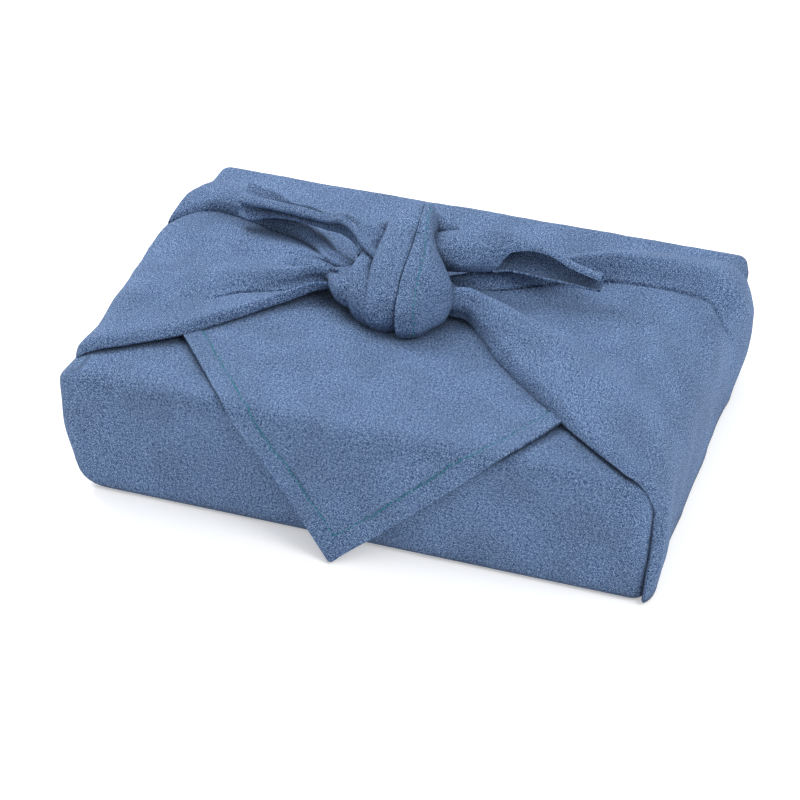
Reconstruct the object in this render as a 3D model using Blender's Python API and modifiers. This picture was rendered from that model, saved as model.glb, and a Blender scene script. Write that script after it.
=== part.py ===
"""A furoshiki: one square cloth wrapped round a flat box and tied on top.

The cloth is one closed solid. Its outside is the true folded and tied form:
the flat front, back and top, the corner that falls over the front, the two
corners gathered from the ends to the knot, the square knot and its two ends.
The wrapped box can't be seen, so the solid's inside stands for it.

Units are metres, +Z is up, -Y is the front. The origin is the middle of the
base, on the surface that the wrap stands on.
"""

from collections import namedtuple
from math import cos, pi, radians, sin

import bmesh
import bpy
import numpy as np
from mathutils import Vector

MM = 0.001

# Driving sizes of the wrapped box, over the cloth.
LENGTH = 300 * MM
DEPTH = 214 * MM
HEIGHT = 69 * MM
EDGE_RADIUS = 7 * MM
EDGE_SEGMENTS = 3

# Cloth.
CLOTH_COLOUR = (0.138, 0.223, 0.434, 1.0)
CLOTH_ROUGHNESS = 0.95
FLAP_THICKNESS = 2 * MM

# How finely the folds are worked out.
SECTION_STEPS = 3
FOLD_STEPS = 3
STRAND_SIDES = 12
STRAND_STEPS = 2
TUCK = 5 * MM
TUCK_INSET = 5 * MM

# The corner that falls over the front, from the top down to the floor. Each
# row is a line across it: how far forward of the front it is, its height, and
# its left and right hems.
FlapRow = namedtuple("FlapRow", "forward height left right")
FLAP = (
    FlapRow(-50, 70.4, -108, 88),
    FlapRow(-34, 70.6, -92, 94),
    FlapRow(-5, 70.6, -68, 81),
    FlapRow(0.6, 68.0, -63, 75),
    FlapRow(3.0, 61.0, -57, 67),
    FlapRow(8.0, 41.0, -40, 46),
    FlapRow(13.5, 20.0, -22, 22),
    FlapRow(17.4, 4.0, -8, 1),
    FlapRow(18.2, 0.4, -4.5, -2.5),
)

# A gather is a fan of cloth from an end of the box to the knot. Each row is a
# section. along and up are its place on the end or the top, lean turns its
# outward direction from straight up (0) to straight out of the end (90), and
# each fold is its place across the box and its lift from the box.
GatherRow = namedtuple(
    "GatherRow",
    "along up lean front_edge front_crest front_groove middle back_groove back_crest back_edge",
)
RIGHT_GATHER = (
    GatherRow(150, 2, 90, (-107, 0.5), (-99, 1), (-80, 1), (0, 1), (58, 1), (82, 2), (105, 0.5)),
    GatherRow(150, 30, 90, (-108, 0.5), (-99, 3), (-80, 2), (0, 2.5), (52, 3), (78, 9), (104, 0.5)),
    GatherRow(150, 58, 90, (-108, 0.5), (-95, 3), (-70, 2), (-10, 3), (45, 4), (73, 11), (96, 1)),
    GatherRow(148, 67, 45, (-107, 0.5), (-84, 3), (-62, 2), (-8, 3), (44, 4), (72, 12), (93, 2)),
    GatherRow(140, 69, 0, (-103, 0.5), (-66, 6), (-48, 3), (0, 3), (50, 4), (73, 13), (92, 2)),
    GatherRow(120, 69, 0, (-90, 1), (-44, 9), (-29, 3), (15, 3), (56, 4), (74, 13), (91, 2)),
    GatherRow(96, 69, 0, (-72, 1), (-27, 13), (-12, 4), (22, 3), (54, 4), (70, 14), (86, 2)),
    GatherRow(74, 69, 0, (-51, 1), (-15, 15), (0, 4), (24, 3), (48, 5), (60, 15), (74, 3)),
    GatherRow(54, 69, 0, (-33, 1), (-6, 17), (8, 5), (20, 4), (36, 6), (45, 15), (58, 3)),
    GatherRow(36, 69, 0, (-10, 1), (1, 19), (9, 10), (14, 9), (20, 11), (27, 13), (38, 3)),
    GatherRow(20, 69, 0, (-7, 3), (0, 17), (4, 18), (8, 18), (12, 17), (17, 13), (24, 3)),
)
LEFT_GATHER = (
    GatherRow(-150, 2, 90, (-104, 0.5), (-96, 1), (-60, 1), (-20, 1), (56, 1), (78, 2), (106, 0.5)),
    GatherRow(-150, 30, 90, (-100, 0.5), (-92, 3), (-60, 2.5), (-20, 3), (46, 3), (70, 7), (102, 0.5)),
    GatherRow(-150, 58, 90, (-94, 0.5), (-86, 3), (-60, 3), (-20, 3), (38, 2), (56, 7), (90, 1)),
    GatherRow(-148, 67, 45, (-91, 0.5), (-83, 4), (-58, 4), (-18, 4), (38, 3), (50, 11), (84, 4)),
    GatherRow(-138, 69, 0, (-83, 1), (-76, 5), (-50, 6), (-14, 6), (50, 3), (58, 14), (82, 4)),
    GatherRow(-120, 69, 0, (-72, 1), (-64, 6), (-36, 6), (-8, 7), (50, 4), (58, 14), (80, 4)),
    GatherRow(-100, 69, 0, (-56, 2), (-50, 7), (-22, 7), (0, 8), (44, 4), (53, 13), (74, 4)),
    GatherRow(-80, 69, 0, (-34, 2), (-33, 8), (-12, 7), (4, 10), (38, 5), (42, 13), (62, 4)),
    GatherRow(-62, 69, 0, (-15, 3), (-16, 10), (-7, 8), (4, 13), (21, 7), (27, 13), (46, 4)),
    GatherRow(-50, 69, 0, (-11, 3), (-10, 11), (-5, 12), (2, 15), (9, 13), (17, 13), (32, 3)),
    GatherRow(-38, 69, 0, (-9, 2), (-8, 8), (-4, 10), (0, 11), (4, 10), (8, 8), (16, 2)),
)

# A strand is a rope of gathered cloth. Each row is the middle of a section,
# its width across, and its thickness out of the knot.
StrandRow = namedtuple("StrandRow", "x y z width thickness")
FRONT_BAND = (
    StrandRow(-10, 36, 84, 22, 10),
    StrandRow(-13, 40, 94, 25, 11),
    StrandRow(-14, 34, 102, 26, 12),
    StrandRow(-12, 18, 100, 28, 13),
    StrandRow(-9, 1, 95, 32, 15),
    StrandRow(-5, -14, 88, 37, 16),
    StrandRow(-4, -22, 80, 38, 14),
    StrandRow(-3, -25, 73, 32, 10),
)
RIGHT_TURN = (
    StrandRow(28, 7, 80, 20, 18),
    StrandRow(16, 2, 84, 25, 23),
    StrandRow(3, -5, 85, 30, 26),
    StrandRow(-8, -6, 83, 30, 22),
)
LEFT_TURN = (
    StrandRow(-50, 0, 79, 18, 15),
    StrandRow(-40, -2, 81, 24, 20),
    StrandRow(-28, -8, 82, 32, 22),
    StrandRow(-12, -8, 83, 34, 24),
)
BACK_LOOP = (
    StrandRow(-12, 32, 93, 15, 10),
    StrandRow(-3, 36, 97, 16, 11),
    StrandRow(5, 34, 96, 14, 10),
    StrandRow(10, 29, 90, 12, 9),
)
LEFT_TAIL = (
    StrandRow(-18, 10, 92, 14, 12),
    StrandRow(-30, 13, 96, 16, 11),
    StrandRow(-42, 19, 97, 18, 11),
    StrandRow(-57, 27, 92, 18, 11),
    StrandRow(-78, 35, 89, 17, 12),
    StrandRow(-98, 42, 87, 16, 13),
    StrandRow(-110, 44, 87, 12, 10),
)
RIGHT_TAIL = (
    StrandRow(4, 20, 92, 20, 18),
    StrandRow(18, 22, 95, 22, 21),
    StrandRow(32, 27, 95, 21, 20),
    StrandRow(46, 31, 92, 19, 15),
    StrandRow(60, 33, 88, 15, 10),
    StrandRow(74, 34, 85, 10, 7),
    StrandRow(86, 35, 84.5, 7, 5),
)
LYING_STRANDS = {
    "right_turn": RIGHT_TURN,
    "left_turn": LEFT_TURN,
    "back_loop": BACK_LOOP,
    "left_tail": LEFT_TAIL,
    "right_tail": RIGHT_TAIL,
}
KNOT_MIDDLE = Vector((-8, 8, 84)) * MM
KNOT_CORE_RADII = Vector((20, 27, 17)) * MM


def clear_scene():
    for item in list(bpy.data.objects):
        bpy.data.objects.remove(item, do_unlink=True)


def make_collection(name):
    collection = bpy.data.collections.new(name)
    bpy.context.scene.collection.children.link(collection)
    return collection


def cloth_material():
    material = bpy.data.materials.new("blue_cotton")
    material.use_nodes = True
    shader = material.node_tree.nodes["Principled BSDF"]
    shader.inputs["Base Color"].default_value = CLOTH_COLOUR
    shader.inputs["Roughness"].default_value = CLOTH_ROUGHNESS
    shader.inputs["Metallic"].default_value = 0.0
    return material


def smooth_rows(rows, steps):
    """Put steps - 1 more rows between each two, on a Catmull-Rom curve."""
    rows = np.asarray(rows, dtype=float)
    padded = np.concatenate([2 * rows[:1] - rows[1:2], rows, 2 * rows[-1:] - rows[-2:-1]])
    result = []
    for i in range(1, len(padded) - 2):
        before, start, end, after = padded[i - 1:i + 3]
        for step in range(steps):
            t = step / steps
            result.append(
                0.5 * (
                    2 * start
                    + (end - before) * t
                    + (2 * before - 5 * start + 4 * end - after) * t ** 2
                    + (3 * start - before - 3 * end + after) * t ** 3
                )
            )
    result.append(rows[-1])
    return np.array(result)


def loft(name, rings, collection):
    """Join closed rings of equal length into one capped solid."""
    mesh = bpy.data.meshes.new(name)
    bm = bmesh.new()
    loops = [[bm.verts.new(point) for point in ring] for ring in rings]
    count = len(loops[0])
    for first, second in zip(loops, loops[1:]):
        for i in range(count):
            j = (i + 1) % count
            bm.faces.new((first[i], first[j], second[j], second[i]))
    bm.faces.new(reversed(loops[0]))
    bm.faces.new(loops[-1])
    bmesh.ops.triangulate(bm, faces=bm.faces[:])
    bmesh.ops.recalc_face_normals(bm, faces=bm.faces[:])
    bm.to_mesh(mesh)
    bm.free()
    solid = bpy.data.objects.new(name, mesh)
    collection.objects.link(solid)
    return solid


def make_body(material, collection):
    """The box with the cloth drawn flat over it."""
    mesh = bpy.data.meshes.new("cloth")
    bm = bmesh.new()
    bmesh.ops.create_cube(bm, size=1.0)
    bmesh.ops.scale(bm, verts=bm.verts[:], vec=(LENGTH, DEPTH, HEIGHT))
    bmesh.ops.translate(bm, verts=bm.verts[:], vec=(0, 0, HEIGHT / 2))
    bm.to_mesh(mesh)
    bm.free()
    body = bpy.data.objects.new("cloth", mesh)
    collection.objects.link(body)
    body.data.materials.append(material)
    edge = body.modifiers.new("round_edges", "BEVEL")
    edge.width = EDGE_RADIUS
    edge.segments = EDGE_SEGMENTS
    return body


def make_flap(collection):
    """The corner over the front, a sheet from under the gathers to the floor."""
    rows = smooth_rows(FLAP, 2) * MM
    rings = []
    for i, (forward, height, left, right) in enumerate(rows):
        ahead = rows[min(i + 1, len(rows) - 1)]
        behind = rows[max(i - 1, 0)]
        down = Vector((0, behind[0] - ahead[0], ahead[1] - behind[1])).normalized()
        inward = Vector((0, -down.z, down.y)) * FLAP_THICKNESS
        y = -DEPTH / 2 - forward
        outer = [Vector((left, y, height)), Vector((right, y, height))]
        inner = [point + inward for point in reversed(outer)]
        rings.append(outer + inner)
    return loft("front_flap", rings, collection)


def make_gather(name, table, collection):
    """A fan of cloth, closed underneath inside the box."""
    raw = []
    for row in table:
        folds = [value for fold in row[3:] for value in fold]
        raw.append([row.along, row.up, row.lean, *folds])
    rings = []
    side = 1 if table[0].along > 0 else -1
    for values in smooth_rows(raw, SECTION_STEPS):
        along, up, lean = values[:3]
        outward = Vector((side * sin(radians(lean)), 0, cos(radians(lean))))
        base = Vector((along, 0, up)) * MM
        folds = smooth_rows(values[3:].reshape(-1, 2), FOLD_STEPS) * MM
        across = Vector((0, 1, 0))
        ring = [base + across * y + outward * lift for y, lift in folds]
        front = folds[0][0] + TUCK_INSET
        back = folds[-1][0] - TUCK_INSET
        ring.append(base + across * back - outward * TUCK)
        ring.append(base + across * front - outward * TUCK)
        rings.append(ring)
    return loft(name, rings, collection)


def make_strand(name, table, collection, stands=False):
    """A rope of cloth with an oval section, facing up, or out of the knot where it stands."""
    rows = smooth_rows(table, STRAND_STEPS) * MM
    rings = []
    for i, (x, y, z, width, thickness) in enumerate(rows):
        middle = Vector((x, y, z))
        ahead = Vector(rows[min(i + 1, len(rows) - 1)][:3])
        behind = Vector(rows[max(i - 1, 0)][:3])
        along = (ahead - behind).normalized()
        outward = middle - KNOT_MIDDLE if stands else Vector((0, 0, 1))
        across = along.cross(outward).normalized()
        outward = across.cross(along)
        ring = []
        for side in range(STRAND_SIDES):
            turn = 2 * pi * side / STRAND_SIDES
            ring.append(middle + across * (cos(turn) * width / 2) + outward * (sin(turn) * thickness / 2))
        rings.append(ring)
    return loft(name, rings, collection)


def make_core(collection):
    """The hidden crossing of the strands inside the knot."""
    mesh = bpy.data.meshes.new("knot_core")
    bm = bmesh.new()
    bmesh.ops.create_uvsphere(bm, u_segments=16, v_segments=10, radius=1.0)
    bmesh.ops.scale(bm, verts=bm.verts[:], vec=KNOT_CORE_RADII)
    bmesh.ops.translate(bm, verts=bm.verts[:], vec=KNOT_MIDDLE)
    bm.to_mesh(mesh)
    bm.free()
    core = bpy.data.objects.new("knot_core", mesh)
    collection.objects.link(core)
    return core


def join_into(body, helper):
    """Join a fold to the cloth, so that all of it is one body."""
    helper.hide_render = True
    helper.display_type = "WIRE"
    union = body.modifiers.new("join_" + helper.name, "BOOLEAN")
    union.operation = "UNION"
    union.solver = "EXACT"
    union.use_self = True
    union.object = helper


def main():
    clear_scene()
    parts = make_collection("furoshiki_wrap")
    folds = make_collection("folds")
    cloth = make_body(cloth_material(), parts)
    join_into(cloth, make_flap(folds))
    join_into(cloth, make_gather("right_gather", RIGHT_GATHER, folds))
    join_into(cloth, make_gather("left_gather", LEFT_GATHER, folds))
    join_into(cloth, make_core(folds))
    join_into(cloth, make_strand("front_band", FRONT_BAND, folds, stands=True))
    for name, table in LYING_STRANDS.items():
        join_into(cloth, make_strand(name, table, folds))


main()
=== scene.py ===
"""Looks of a furoshiki: a blue cotton cloth wrapped round a flat box and tied on top.

The cloth is built as overlapping sheets that lie where the real cloth shows:
the wrap over the box, the corner over the front, the fans gathered from the
two ends, the folds of the square knot and its two free ends. A row of sewn
stitches runs inside each hem that shows.

Tables and sizes are in millimetres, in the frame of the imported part: +Z up,
-Y front. The finishes' sizes, the meshes, the flat places and the studio are in
metres.
"""

import logging
from dataclasses import dataclass, field
from enum import Enum
from math import cos, pi, radians, sin
from typing import NamedTuple

import bpy
import numpy as np
from mathutils import Matrix, Vector

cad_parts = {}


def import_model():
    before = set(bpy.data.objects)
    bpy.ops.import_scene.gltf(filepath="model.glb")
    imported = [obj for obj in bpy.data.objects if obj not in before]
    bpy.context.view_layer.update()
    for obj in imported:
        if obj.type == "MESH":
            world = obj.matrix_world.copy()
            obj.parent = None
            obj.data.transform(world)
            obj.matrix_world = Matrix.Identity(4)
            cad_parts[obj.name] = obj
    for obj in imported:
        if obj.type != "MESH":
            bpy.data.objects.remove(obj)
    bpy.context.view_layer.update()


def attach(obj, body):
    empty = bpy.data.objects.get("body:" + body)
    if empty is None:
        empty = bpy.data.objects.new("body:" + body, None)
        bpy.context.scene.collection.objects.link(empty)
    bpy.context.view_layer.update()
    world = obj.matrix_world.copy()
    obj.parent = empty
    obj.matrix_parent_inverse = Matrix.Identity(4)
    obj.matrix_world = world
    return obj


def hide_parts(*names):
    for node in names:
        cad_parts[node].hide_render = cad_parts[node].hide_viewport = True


MM = 0.001
BODY = "root"
NODE = "cloth"
CLOTH_UV = "cloth"
TABLE_SIDE = 128
OCTAVE_SHIFT = (17.3, -9.1)
TINY = 1e-9
HAIR = 1e-6

Points = np.ndarray
Pair = tuple[float, float]
Spot = tuple[float, float, float]
Colour = tuple[float, float, float, float]
Socket = bpy.types.NodeSocket
Material = bpy.types.Material
Piece = bpy.types.Object
Seam = list[tuple[Vector, Vector]]

log = logging.getLogger("furoshiki")


class Held(Enum):
    """How a sheet is held."""

    DRAPED = "draped"
    GATHERED = "gathered"
    FOLDED = "folded"


# --------------------------------------------------------------------------
# Curves and unevenness
# --------------------------------------------------------------------------


def through(rows: Points, places: Points, wanted: Points) -> Points:
    """Follow rows with a cubic curve that never overshoots them.

    Args:
        rows: Values, one row for each place.
        places: Rising positions of the rows.
        wanted: Positions to read.

    Returns:
        The values at the wanted positions.
    """
    shape = (-1,) + (1,) * (rows.ndim - 1)
    step = np.maximum(np.diff(places), TINY)
    rise = np.diff(rows, axis=0) / step.reshape(shape)
    slope = np.empty_like(rows)
    slope[0], slope[-1] = rise[0], rise[-1]
    left, right = step[:-1].reshape(shape), step[1:].reshape(shape)
    first, second = 2 * right + left, right + 2 * left
    same = rise[:-1] * rise[1:] > 0
    safe_a = np.where(same, rise[:-1], 1.0)
    safe_b = np.where(same, rise[1:], 1.0)
    slope[1:-1] = np.where(same, (first + second) / (first / safe_a + second / safe_b), 0.0)
    at = np.clip(np.searchsorted(places, wanted, side="right") - 1, 0, len(places) - 2)
    width = step[at].reshape(shape)
    t = ((wanted - places[at]) / step[at]).reshape(shape)
    return (
        rows[at] * (1 + 2 * t) * (1 - t) ** 2
        + slope[at] * width * t * (1 - t) ** 2
        + rows[at + 1] * t * t * (3 - 2 * t)
        + slope[at + 1] * width * t * t * (t - 1)
    )


def lengths(points: Points) -> Points:
    """Measure the distance along a line of points, from 0 at the first."""
    steps = np.linalg.norm(np.diff(points, axis=0), axis=-1)
    return np.concatenate([[0.0], np.cumsum(steps)])


def ease(value: Points, low: float, high: float) -> Points:
    """Rise softly from 0 at low to 1 at high."""
    t = np.clip((value - low) / (high - low), 0.0, 1.0)
    return t * t * (3 - 2 * t)


def unevenness(u: Points, v: Points, size: float, seed: int, octaves: int = 2) -> Points:
    """Give smooth, seeded ups and downs over a flat cloth, from about -1 to 1.

    Args:
        u: Place along the cloth, in metres.
        v: Place across the cloth, in metres.
        size: Size of one bump, in metres.
        seed: Chooses the pattern.
        octaves: How many finer layers are added.

    Returns:
        The height at each place.
    """
    table = np.random.RandomState(seed).uniform(-1, 1, (TABLE_SIDE, TABLE_SIDE))
    total = np.zeros_like(u)
    gain, reach = 1.0, 0.0
    for octave in range(octaves):
        scale = 2.0 ** octave / size
        x, y = u * scale + OCTAVE_SHIFT[0] * octave, v * scale + OCTAVE_SHIFT[1] * octave
        i, j = np.floor(x).astype(int), np.floor(y).astype(int)
        a, b = x - i, y - j
        a, b = a * a * (3 - 2 * a), b * b * (3 - 2 * b)
        i, j, after_i, after_j = (k % TABLE_SIDE for k in (i, j, i + 1, j + 1))
        low = table[i, j] * (1 - a) + table[after_i, j] * a
        high = table[i, after_j] * (1 - a) + table[after_i, after_j] * a
        total += gain * (low * (1 - b) + high * b)
        reach += gain
        gain *= 0.5
    return total / reach


def soften(points: Points, rounds: int) -> Points:
    """Round the folds of a grid of points off, a little more in each round.

    Args:
        points: Rows and columns of points.
        rounds: How many times each point moves towards its neighbours.

    Returns:
        The moved points.
    """
    soft = points.copy()
    for _ in range(rounds):
        soft[:, 1:-1] = 0.25 * soft[:, :-2] + 0.5 * soft[:, 1:-1] + 0.25 * soft[:, 2:]
    return soft


def grid_normals(points: Points, closed: bool = False) -> Points:
    """Find the outward direction at each point of a grid.

    Args:
        points: Rows and columns of points.
        closed: Whether the last column meets the first.

    Returns:
        A direction of length 1 for each point.
    """
    down = np.gradient(points, axis=0)
    if closed:
        across = np.roll(points, -1, axis=1) - np.roll(points, 1, axis=1)
    else:
        across = np.gradient(points, axis=1)
    normal = np.cross(down, across)
    return normal / np.maximum(np.linalg.norm(normal, axis=-1, keepdims=True), 1e-12)


def laid_flat(points: Points, along: Points) -> Points:
    """Lay a grid of points out flat, row by row, from its first column.

    Args:
        points: Rows and columns of points, in metres.
        along: Each row's place along the cloth, in metres.

    Returns:
        The place across and along the cloth of each point, in metres.
    """
    widths = np.linalg.norm(np.diff(points, axis=1), axis=2)
    across = np.concatenate([np.zeros((len(points), 1)), np.cumsum(widths, axis=1)], axis=1)
    return np.stack([across, np.repeat(along[:, None], across.shape[1], axis=1)], axis=2)


# --------------------------------------------------------------------------
# Finishes
# --------------------------------------------------------------------------


class Nodes:
    """A material's node tree, built one node at a time."""

    def __init__(self, name: str) -> None:
        """Start an empty material with a Principled shader.

        Args:
            name: The material's name.
        """
        self.material = bpy.data.materials.new(name)
        self.material.use_nodes = True
        self.tree = self.material.node_tree
        self.shader = self.tree.nodes["Principled BSDF"]

    def add(self, kind: str, inputs: dict | None = None, **settings: object) -> bpy.types.Node:
        """Add a node, set it up and join its inputs.

        Args:
            kind: Blender's name for the node's type.
            inputs: Socket name or number to a value, or to a socket to join.
            settings: The node's own properties.

        Returns:
            The new node.
        """
        node = self.tree.nodes.new(kind)
        for key, value in settings.items():
            setattr(node, key, value)
        self.feed(node, inputs or {})
        return node

    def feed(self, node: bpy.types.Node, inputs: dict) -> None:
        """Set a node's inputs or join them.

        Args:
            node: The node.
            inputs: Socket name or number to a value, or to a socket to join.
        """
        for key, value in inputs.items():
            if isinstance(value, Socket):
                self.tree.links.new(value, node.inputs[key])
            else:
                node.inputs[key].default_value = value

    def maths(self, operation: str, first: object, second: object = 0.0) -> Socket:
        """Join two values by a Math node and give its result."""
        return self.add("ShaderNodeMath", {0: first, 1: second}, operation=operation).outputs[0]

    def noise(self, place: Socket, scale: float, detail: float = 2.0) -> Socket:
        """Give a noise pattern's value at a place."""
        node = self.add("ShaderNodeTexNoise", {"Vector": place, "Scale": scale, "Detail": detail})
        return node.outputs["Fac"]

    def stretched(self, place: Socket, scale: Spot, turn: float) -> Socket:
        """Turn a place and stretch it, so that a pattern runs along the threads.

        Args:
            place: The place that a pattern is read at.
            scale: How far each of its axes is stretched.
            turn: How far it is turned first, in radians.

        Returns:
            The new place.
        """
        turned = self.add("ShaderNodeMapping", {"Vector": place, "Rotation": (0.0, 0.0, turn)})
        node = self.add("ShaderNodeMapping", {"Vector": turned.outputs[0], "Scale": scale})
        return node.outputs[0]

    def levels(self, value: Socket, between: Pair, to: Pair) -> Socket:
        """Stretch the part of a value between two levels over a new range."""
        inputs = {"Value": value, 1: between[0], 2: between[1], 3: to[0], 4: to[1]}
        return self.add("ShaderNodeMapRange", inputs, interpolation_type="SMOOTHSTEP").outputs[0]

    def mix(self, share: object, first: object, second: object, mode: str = "MIX") -> Socket:
        """Mix two colours."""
        inputs = {0: share, 6: first, 7: second}
        return self.add("ShaderNodeMix", inputs, data_type="RGBA", blend_type=mode).outputs[2]

    def darken(self, colour: Socket, by: Socket) -> Socket:
        """Multiply a colour by a value."""
        grey = self.add("ShaderNodeCombineColor", {0: by, 1: by, 2: by}).outputs[0]
        return self.mix(1.0, colour, grey, "MULTIPLY")


@dataclass(frozen=True)
class CreasedCotton:
    """Stone-washed plain-weave cotton with a crinkled face, with painted shade that darkens its colour in
    creases and gaps.
    """

    deep: Colour = (0.010, 0.028, 0.088, 1.0)
    middle: Colour = (0.071, 0.129, 0.262, 1.0)
    worn: Colour = (0.268, 0.390, 0.605, 1.0)
    # Painted shade: how far the ambient occlusion reaches, how dark it paints the colour where the cloth is
    # hidden from the sky, and over which levels.
    painted_shade_reach: float = 12.0 * MM
    painted_shade_darkest: float = 0.42
    painted_shade_levels: Pair = (0.25, 0.95)
    roughness: float = 0.92
    specular: float = 0.25
    sheen: float = 0.1
    sheen_roughness: float = 0.5
    sheen_tint: Colour = (0.5, 0.68, 1.0, 1.0)
    grain_turn: float = 45.0
    thread: float = 0.29 * MM
    thread_scale: float = 0.76
    thread_stretch: float = 0.22
    crepe_scale: float = 0.62
    worn_levels: Pair = (0.505, 0.562)
    sunk_levels: Pair = (0.49, 0.435)
    slub: float = 1.1 * MM
    slub_stretch: float = 0.06
    slub_levels: Pair = (0.69, 0.80)
    slub_share: float = 0.22
    patch_scale: float = 38.0
    patch_shades: Pair = (0.90, 1.08)
    cloud_scale: float = 9.0
    cloud_shades: Pair = (-0.05, 0.05)
    shade_levels: Pair = (0.3, 0.7)
    bump: float = 0.95 * MM

    def crossed(self, n: Nodes, place: Socket, stretch: float, scale: float, detail: float) -> list[Socket]:
        """Make the same streaky pattern along the warp and along the weft.

        Args:
            n: The material's nodes.
            place: The cloth's own flat coordinates.
            stretch: How long a streak is: 1 is round, and 0.1 ten times its width.
            scale: How fine the pattern is.
            detail: How much finer noise it has.

        Returns:
            The pattern's value along the warp, and along the weft.
        """
        turn = radians(self.grain_turn)
        ways = ((1.0, stretch, 1.0), (stretch, 1.0, 1.0))
        return [n.noise(n.stretched(place, way, turn), scale, detail) for way in ways]

    def build(self) -> Material:
        """Make the material from the cloth's own flat coordinates, in metres.

        Returns:
            The material.
        """
        n = Nodes("washed_blue_cotton")
        place = n.add("ShaderNodeUVMap", uv_map=CLOTH_UV).outputs[0]
        warp, weft = self.crossed(n, place, self.thread_stretch, self.thread_scale / self.thread, 2.0)
        crepe = n.noise(place, self.crepe_scale / self.thread, 3.0)
        slubs = self.crossed(n, place, self.slub_stretch, 1.0 / self.slub, 0.0)
        patch = n.noise(place, self.patch_scale, 3.0)
        cloud = n.noise(place, self.cloud_scale, 2.0)
        threads = n.maths("ADD", n.maths("MULTIPLY", warp, 0.5), n.maths("MULTIPLY", weft, 0.5))
        grain = n.maths("ADD", n.maths("MULTIPLY", threads, 0.5), n.maths("MULTIPLY", crepe, 0.5))
        worn = n.levels(grain, self.worn_levels, (0.0, 1.0))
        sunk = n.levels(grain, self.sunk_levels, (0.0, 1.0))
        streaks = n.levels(n.maths("MAXIMUM", *slubs), self.slub_levels, (0.0, self.slub_share))
        colour = n.mix(worn, self.middle, self.worn)
        colour = n.mix(sunk, colour, self.deep)
        colour = n.mix(streaks, colour, self.worn)
        patches = n.levels(patch, self.shade_levels, self.patch_shades)
        clouds = n.levels(cloud, self.shade_levels, self.cloud_shades)
        colour = n.darken(colour, n.maths("ADD", patches, clouds))
        # Painted shade: ambient occlusion darkens the colour in creases, gaps and under overlapping cloth,
        # where shade falls.
        reach = {"Distance": self.painted_shade_reach}
        open_sky = n.add("ShaderNodeAmbientOcclusion", reach, samples=6).outputs["AO"]
        colour = n.darken(colour, n.levels(open_sky, self.painted_shade_levels, (self.painted_shade_darkest, 1.0)))
        inputs = {"Height": grain, "Strength": 1.0, "Distance": self.bump}
        rough = n.add("ShaderNodeBump", inputs).outputs[0]
        look = {
            "Base Color": colour,
            "Roughness": self.roughness,
            "Sheen Weight": self.sheen,
            "Sheen Roughness": self.sheen_roughness,
            "Sheen Tint": self.sheen_tint,
            "Specular IOR Level": self.specular,
            "Normal": rough,
        }
        n.feed(n.shader, look)
        return n.material


@dataclass(frozen=True)
class TealThread:
    """Spun sewing thread."""

    colour: Colour = (0.003, 0.085, 0.130, 1.0)
    pale: Colour = (0.014, 0.270, 0.330, 1.0)
    roughness: float = 0.6
    twist_scale: float = 2500.0
    bump: float = 0.1 * MM

    def build(self) -> Material:
        """Make the material, with fine light and dark turns of the yarn.

        Returns:
            The material.
        """
        n = Nodes("teal_thread")
        place = n.add("ShaderNodeTexCoord").outputs["Object"]
        twist = n.noise(place, self.twist_scale, 1.0)
        colour = n.mix(twist, self.colour, self.pale)
        rough = n.add("ShaderNodeBump", {"Height": twist, "Strength": 0.5, "Distance": self.bump})
        n.feed(n.shader, {"Base Color": colour, "Roughness": self.roughness, "Normal": rough.outputs[0]})
        return n.material


@dataclass(frozen=True)
class PaleFloor:
    """A plain matt table top, lit from below like a light table."""

    colour: Colour = (0.92, 0.92, 0.92, 1.0)
    light: Colour = (1.0, 1.0, 1.0, 1.0)
    glow: float = 0.3
    roughness: float = 0.9

    def build(self) -> Material:
        """Make the material.

        Returns:
            The material.
        """
        n = Nodes("pale_floor")
        look = {
            "Base Color": self.colour,
            "Roughness": self.roughness,
            "Emission Color": self.light,
            "Emission Strength": self.glow,
        }
        n.feed(n.shader, look)
        return n.material


# --------------------------------------------------------------------------
# Sheets of cloth
# --------------------------------------------------------------------------


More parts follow.
